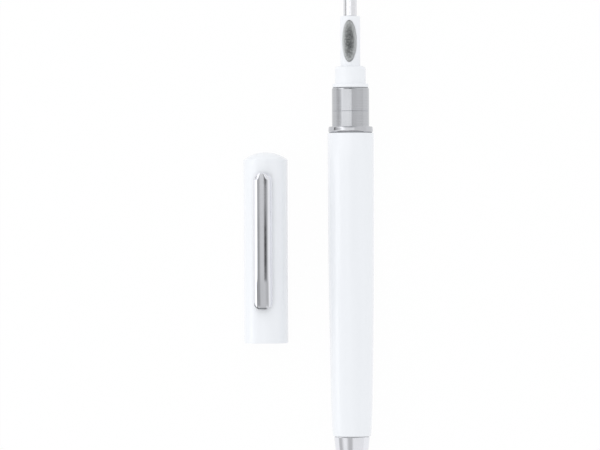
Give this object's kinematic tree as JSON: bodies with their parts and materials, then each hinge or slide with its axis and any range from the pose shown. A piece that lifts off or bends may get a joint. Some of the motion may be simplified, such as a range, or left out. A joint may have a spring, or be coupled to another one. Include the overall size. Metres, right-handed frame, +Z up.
{
  "type": "cleaning pen",
  "caption": "Slim capped cleaning pen with a flocked oval pad and a metal nib on a slender nose, a white tapered barrel, and a domed cap with a spring clip lying beside it.",
  "frame": {"origin": "on the table, under the middle of the box round the pen and its cap", "axes": "+Y along the pen from its tail to its nib, +Z up from the table, the cap on the -X side with its closed end towards +Y"},
  "size_m": [0.0342, 0.1332, 0.0141],
  "materials": {
    "white_lacquer": "gloss white lacquer on a drawn metal tube",
    "inner_moulding": "plain moulded",
    "white_moulding": "semi-gloss moulded",
    "bright_chrome": "mirror plated",
    "grey_nickel": "polished grey nickel plate",
    "satin_collar": "fine turned, satin",
    "nib_steel": "fine turned",
    "grey_flock": "short upright flock on foam"
  },
  "bodies": {
    "pen": {"barrel": "white_lacquer", "barrel_bush": "inner_moulding", "trim_ring": "grey_nickel", "collar": "satin_collar", "tool_holder": "white_moulding", "sponge": "grey_flock", "nib": "nib_steel", "tail_end": "bright_chrome"},
    "cap": {"cap_shell": "white_lacquer", "cap_liner": "inner_moulding", "clip_block": "inner_moulding"},
    "clip": {"clip": "bright_chrome"}
  },
  "joints": [
    {"name": "cap_draw", "type": "slide", "parent": "pen", "child": "cap", "axis": [0, 1, 0], "range_m": [0, 0.1]},
    {"name": "clip_flex", "type": "hinge", "parent": "cap", "child": "clip", "pos_m": [-0.01132, 0.01342, 0.01125], "axis": [-1, 0, 0], "range_deg": [0, 4], "stiffness_Nm_per_rad": 0.5}
  ]
}
